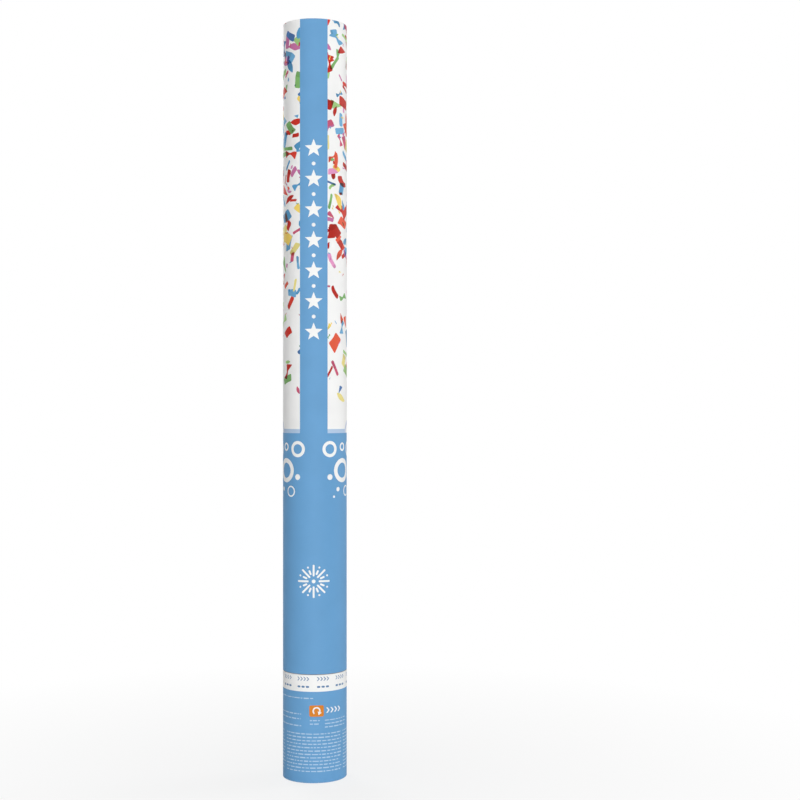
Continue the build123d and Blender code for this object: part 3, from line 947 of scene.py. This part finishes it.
class Look:
    """A material and the steps that its looks are made of."""

    def __init__(self, name, metallic=0.0):
        self.material = bpy.data.materials.new(name)
        self.material.use_nodes = True
        self.tree = self.material.node_tree
        self.shader = self.tree.nodes["Principled BSDF"]
        self.shader.inputs["Metallic"].default_value = metallic
        self.where = node(self.tree, "ShaderNodeTexCoord").outputs["Object"]

    def grain(self, scale, detail=3.0, stretch=None):
        """Noise from 0 to 1, with about scale features in a metre, stretched along each axis."""
        place = self.where
        if stretch:
            place = node(self.tree, "ShaderNodeMapping", {"Vector": place, "Scale": stretch}).outputs[0]
        inputs = {"Vector": place, "Scale": scale, "Detail": detail}
        return node(self.tree, "ShaderNodeTexNoise", inputs).outputs["Fac"]

    def span(self, field, low, high, ends=(0.3, 0.7)):
        """Low to high, as a field goes from one of its ends to the other."""
        inputs = {"Value": field, "From Min": ends[0], "From Max": ends[1], "To Min": low, "To Max": high}
        return node(self.tree, "ShaderNodeMapRange", inputs).outputs["Result"]

    def maths(self, operation, *values):
        """One step of arithmetic on numbers or sockets."""
        return node(self.tree, "ShaderNodeMath", dict(enumerate(values)), operation=operation).outputs[0]

    def blend(self, field, most, first, second, ends=(0.3, 0.7)):
        """First colour with second over it, by up to the share most, as a field goes from end to end."""
        inputs = {MIX_SHARE: self.span(field, 0, most, ends)}
        for key, value in ((MIX_FIRST, first), (MIX_SECOND, second)):
            inputs[key] = value if isinstance(value, bpy.types.NodeSocket) else (*value, 1)
        return node(self.tree, "ShaderNodeMix", inputs, data_type="RGBA").outputs[MIX_RESULT]

    def colour(self, socket):
        self.tree.links.new(socket, self.shader.inputs["Base Color"])

    def roughness(self, socket):
        self.tree.links.new(socket, self.shader.inputs["Roughness"])

    def relief(self, height, strength, depth=0.0002):
        """Bump of a height field, with its depth in metres."""
        bump = node(self.tree, "ShaderNodeBump", {"Height": height, "Strength": strength, "Distance": depth})
        self.tree.links.new(bump.outputs["Normal"], self.shader.inputs["Normal"])

    def helix(self, width):
        """The butt line of the wound tube: 1 along it and 0 away from it, with its width in metres."""
        axes = node(self.tree, "ShaderNodeSeparateXYZ", {"Vector": self.where}).outputs
        turns = self.maths("MULTIPLY", self.maths("ARCTAN2", axes["Y"], axes["X"]), 1 / tau)
        rises = self.maths("MULTIPLY", axes["Z"], 1 / WINDING_PITCH)
        wound = self.maths("FRACT", self.maths("ADD", turns, rises))
        away = self.maths("ABSOLUTE", self.maths("SUBTRACT", wound, 0.5))
        return self.span(away, 1.0, 0.0, (0.0, width / WINDING_PITCH))


def printed_paper():
    """Satin paper on a wound tube, in the inks of its mesh, rubbed a little at folds and edges."""
    look = Look("printed_paper")
    ink = node(look.tree, "ShaderNodeAttribute", attribute_name="ink").outputs["Color"]
    wear = node(look.tree, "ShaderNodeAttribute", attribute_name="wear").outputs["Fac"]
    fine = look.grain(2200, detail=2)
    cloud = look.grain(45)
    patches = look.span(look.grain(900, detail=4), 0.0, 0.5, (0.5, 0.72))
    worn = look.blend(look.maths("MULTIPLY", wear, patches), 1, ink, PAPER_CORE, (0, 1))
    tone = {0: worn, "Scale": look.span(cloud, 0.965, 1.02)}
    look.colour(node(look.tree, "ShaderNodeVectorMath", tone, operation="SCALE").outputs["Vector"])
    look.roughness(look.span(fine, 0.5, 0.62))
    groove = look.maths("MULTIPLY", look.helix(width=0.0012), -0.5)
    skin = look.maths("ADD", fine, look.maths("MULTIPLY", cloud, 0.6))
    look.relief(look.maths("ADD", groove, skin), strength=0.12)
    look.shader.inputs["Specular IOR Level"].default_value = 0.15
    return look.material


def tube_board():
    """Grey-brown wound board with fibres, flecks and the butt line of its plies."""
    look = Look("tube_board")
    fibre = look.grain(900, detail=4, stretch=(1, 1, 0.25))
    fleck = look.grain(2600, detail=2)
    cloud = look.grain(70)
    base = look.blend(cloud, 1, srgb(176, 150, 116), srgb(198, 173, 138))
    fibres = look.blend(fibre, 0.5, base, srgb(142, 116, 84), (0.42, 0.68))
    flecked = look.blend(fleck, 0.7, fibres, srgb(104, 84, 60), (0.64, 0.72))
    line = look.helix(width=0.0009)
    look.colour(look.blend(line, 0.55, flecked, srgb(120, 96, 68), (0, 1)))
    look.roughness(look.span(fibre, 0.78, 0.94))
    grooved = look.maths("ADD", fibre, look.maths("MULTIPLY", line, -1.2))
    look.relief(grooved, strength=0.3, depth=0.0003)
    return look.material


def moulded(name, light, dark, rough, specks=1800, strength=0.08):
    """Moulded plastic or rubber with a fine skin, soft clouding and a few scuffs."""
    look = Look(name)
    cloud = look.grain(55)
    skin = look.grain(specks, detail=2)
    scuff = look.grain(240, detail=6, stretch=(1, 0.2, 1))
    base = look.blend(cloud, 1, dark, light)
    look.colour(look.blend(scuff, 0.35, base, light, (0.6, 0.75)))
    look.roughness(look.span(scuff, *rough))
    look.relief(skin, strength)
    return look.material


def drawn_metal(name, light, dark, rough, stretch):
    """Metal with fine lines in the way that it was drawn or turned."""
    look = Look(name, metallic=1.0)
    lines = look.grain(1500, detail=4, stretch=stretch)
    cloud = look.grain(60)
    base = look.blend(lines, 1, dark, light)
    look.colour(look.blend(cloud, 0.4, base, dark))
    look.roughness(look.span(lines, *rough))
    look.relief(lines, strength=0.06, depth=0.0001)
    return look.material


def foam():
    """Grey foam with open cells, with painted shade in their pits."""
    look = Look("grey_foam")
    voronoi = node(look.tree, "ShaderNodeTexVoronoi", {"Vector": look.where, "Scale": 900})
    cells = voronoi.outputs["Distance"]
    cloud = look.grain(90)
    base = look.blend(cloud, 1, srgb(112, 114, 120), srgb(132, 134, 140))
    # Painted shade: darker towards the middle of each cell, where the bump sinks its pit
    look.colour(look.blend(cells, 0.75, base, srgb(72, 74, 80), (0.4, 0.05)))
    look.roughness(look.span(cells, 0.95, 0.82, (0, 0.6)))
    look.relief(cells, strength=0.55, depth=0.0006)
    return look.material


def card():
    """White card with fibres and faint clouding."""
    look = Look("white_card")
    fibre = look.grain(1300, detail=5, stretch=(1, 0.35, 1))
    cloud = look.grain(60)
    base = look.blend(cloud, 1, srgb(232, 229, 222), srgb(243, 241, 236))
    look.colour(look.blend(fibre, 0.35, base, srgb(208, 203, 193), (0.55, 0.75)))
    look.roughness(look.span(fibre, 0.7, 0.88))
    look.relief(fibre, strength=0.2)
    return look.material


def tissue(colour):
    """Crinkled tissue, each strip of a slightly different tint, with painted shade darkening it along its
    crinkles.
    """
    look = Look("tissue_" + colour)
    ink = TISSUES[colour]
    # The darkest of these tints is painted shade for the crinkles
    dark, light, painted_crease_shade = ink * 0.86, np.minimum(ink * 1.14, WHITE), ink * 0.7
    lint = np.minimum(ink * 1.3 + 0.08, WHITE)
    island = node(look.tree, "ShaderNodeNewGeometry").outputs["Random Per Island"]
    crinkle = look.grain(420, detail=5, stretch=(1, 1, 0.45))
    fibre = look.grain(1900)
    base = look.blend(island, 1, dark, light, (0, 1))
    # Painted shade: the tint darkens towards the crease tint along the crinkles
    with_painted_crease_shade = look.blend(crinkle, 0.45, base, painted_crease_shade, (0.52, 0.72))
    look.colour(look.blend(fibre, 0.3, with_painted_crease_shade, lint, (0.55, 0.75)))
    look.roughness(look.span(fibre, 0.76, 0.92))
    look.relief(crinkle, strength=0.6, depth=0.0004)
    return look.material


def dress(names, material):
    """Gives CAD nodes a material."""
    for name in names:
        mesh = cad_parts[name].data
        mesh.materials.clear()
        mesh.materials.append(material)


def mount(piece, material, body, cad_node):
    """Gives a new piece its material and puts it in the place of a CAD node."""
    piece.data.materials.append(material)
    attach(piece, body)
    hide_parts(cad_node)


# Materials of the CAD nodes
dress(["barrel_tube", "grip_tube"], tube_board())
white = moulded("white_plastic", srgb(238, 238, 235), srgb(226, 226, 222), (0.36, 0.5))
dress(["cam_collar", "swivel_coupler", "base_plug"], white)
black = moulded("black_plastic", srgb(46, 46, 49), srgb(27, 27, 29), (0.32, 0.48))
dress(["stopper", "pusher_cup"], black)
nylon = moulded("natural_nylon", srgb(228, 223, 205), srgb(212, 206, 186), (0.34, 0.46))
dress(["valve_body"], nylon)
rubber = moulded("black_rubber", srgb(40, 40, 41), srgb(24, 24, 25), (0.62, 0.8), specks=2600, strength=0.14)
dress(["fill_plug", "neck_gasket", "stopper_seal"], rubber)
aluminium = drawn_metal("can_aluminium", srgb(226, 228, 231), srgb(196, 199, 203), (0.26, 0.4), (1, 1, 0.04))
dress(["air_can", "crimp_ferrule"], aluminium)
steel = drawn_metal("bright_steel", srgb(208, 208, 210), srgb(176, 177, 180), (0.2, 0.34), (0.2, 0.2, 1))
dress(["snap_ring", "cross_pin"], steel)

# New pieces in the place of the paper, tissue, foam and card
paper = printed_paper()
barrel_sheet = Sheet(barrel_low.z, barrel_high.z - barrel_low.z, MUZZLE_ROUND, 1)
barrel_art(barrel_sheet)
barrel_wrap = build_wrap("barrel_wrap", barrel_sheet, bake_columns=2)
mount(barrel_wrap, paper, "barrel", "barrel_label")
grip_sheet = Sheet(grip_high.z, grip_high.z - grip_low.z, FOOT_ROUND, -1)
grip_art(grip_sheet)
grip_wrap = build_wrap("grip_wrap", grip_sheet, bake_columns=1)
mount(grip_wrap, paper, "grip", "grip_label")
for order, colour in enumerate(TISSUES):
    bundle = "confetti_" + colour
    mount(build_bundle(colour, order), tissue(colour), bundle, bundle)
wad = build_wad()
mount(wad, foam(), "pusher", "foam_wad")
mount(build_lid(), card(), "muzzle_disc", "muzzle_disc")


# Studio

def background_share(tree):
    """A socket that is 1 where the background is seen, straight or in a reflection."""
    path = node(tree, "ShaderNodeLightPath").outputs
    share = path["Is Camera Ray"]
    for ray in ("Is Glossy Ray", "Is Transmission Ray"):
        share = node(tree, "ShaderNodeMath", {0: share, 1: path[ray]}, operation="MAXIMUM").outputs[0]
    return share


# White floor that fades into the background away from the object's shadow
corners = [(x, y, 0) for x, y in rectangle(-FLOOR_HALF, FLOOR_HALF, -FLOOR_HALF, FLOOR_HALF)]
floor = add_object("floor", corners, [(0, 1, 2, 3)])
look = Look("floor_white")
tree = look.tree
look.shader.inputs["Base Color"].default_value = FLOOR_GREY
look.shader.inputs["Roughness"].default_value = FLOOR_ROUGHNESS
glow = node(tree, "ShaderNodeEmission", {"Color": WHITE_LIGHT, "Strength": 1.0}).outputs[0]
away = node(tree, "ShaderNodeVectorMath", {0: look.where}, operation="LENGTH").outputs["Value"]
share = look.maths("MULTIPLY", look.span(away, *FLOOR_WHITES, FLOOR_FADE), background_share(tree))
mix = node(tree, "ShaderNodeMixShader", {0: share, 1: look.shader.outputs[0], 2: glow})
tree.links.new(mix.outputs[0], tree.nodes["Material Output"].inputs["Surface"])
floor.data.materials.append(look.material)

# White background with a little light of its own
world = bpy.data.worlds.new("studio")
bpy.context.scene.world = world
world.use_nodes = True
tree = world.node_tree
back = tree.nodes["Background"]
back.inputs["Color"].default_value = WHITE_LIGHT
levels = {"Value": background_share(tree), "To Min": ROOM_LIGHT, "To Max": 1.0}
strength = node(tree, "ShaderNodeMapRange", levels).outputs["Result"]
tree.links.new(strength, back.inputs["Strength"])

# Lamps that face the object
for name, (place, size, power) in LAMPS.items():
    lamp = bpy.data.lights.new(name, "AREA")
    lamp.shape = "RECTANGLE"
    lamp.size, lamp.size_y = size
    lamp.energy = power
    made = bpy.data.objects.new(name, lamp)
    made.location = place
    made.rotation_euler = (Vector(LAMP_AIM) - Vector(place)).to_track_quat("-Z", "Y").to_euler()
    bpy.context.collection.objects.link(made)

# Level camera in front of the object, to its right
camera = bpy.data.objects.new("camera", bpy.data.cameras.new("camera"))
camera.data.lens = CAMERA_LENS
camera.location = CAMERA_PLACE
camera.rotation_euler = (pi / 2, 0, 0)
bpy.context.collection.objects.link(camera)
bpy.context.scene.camera = camera

bpy.context.scene.view_settings.view_transform = "Standard"
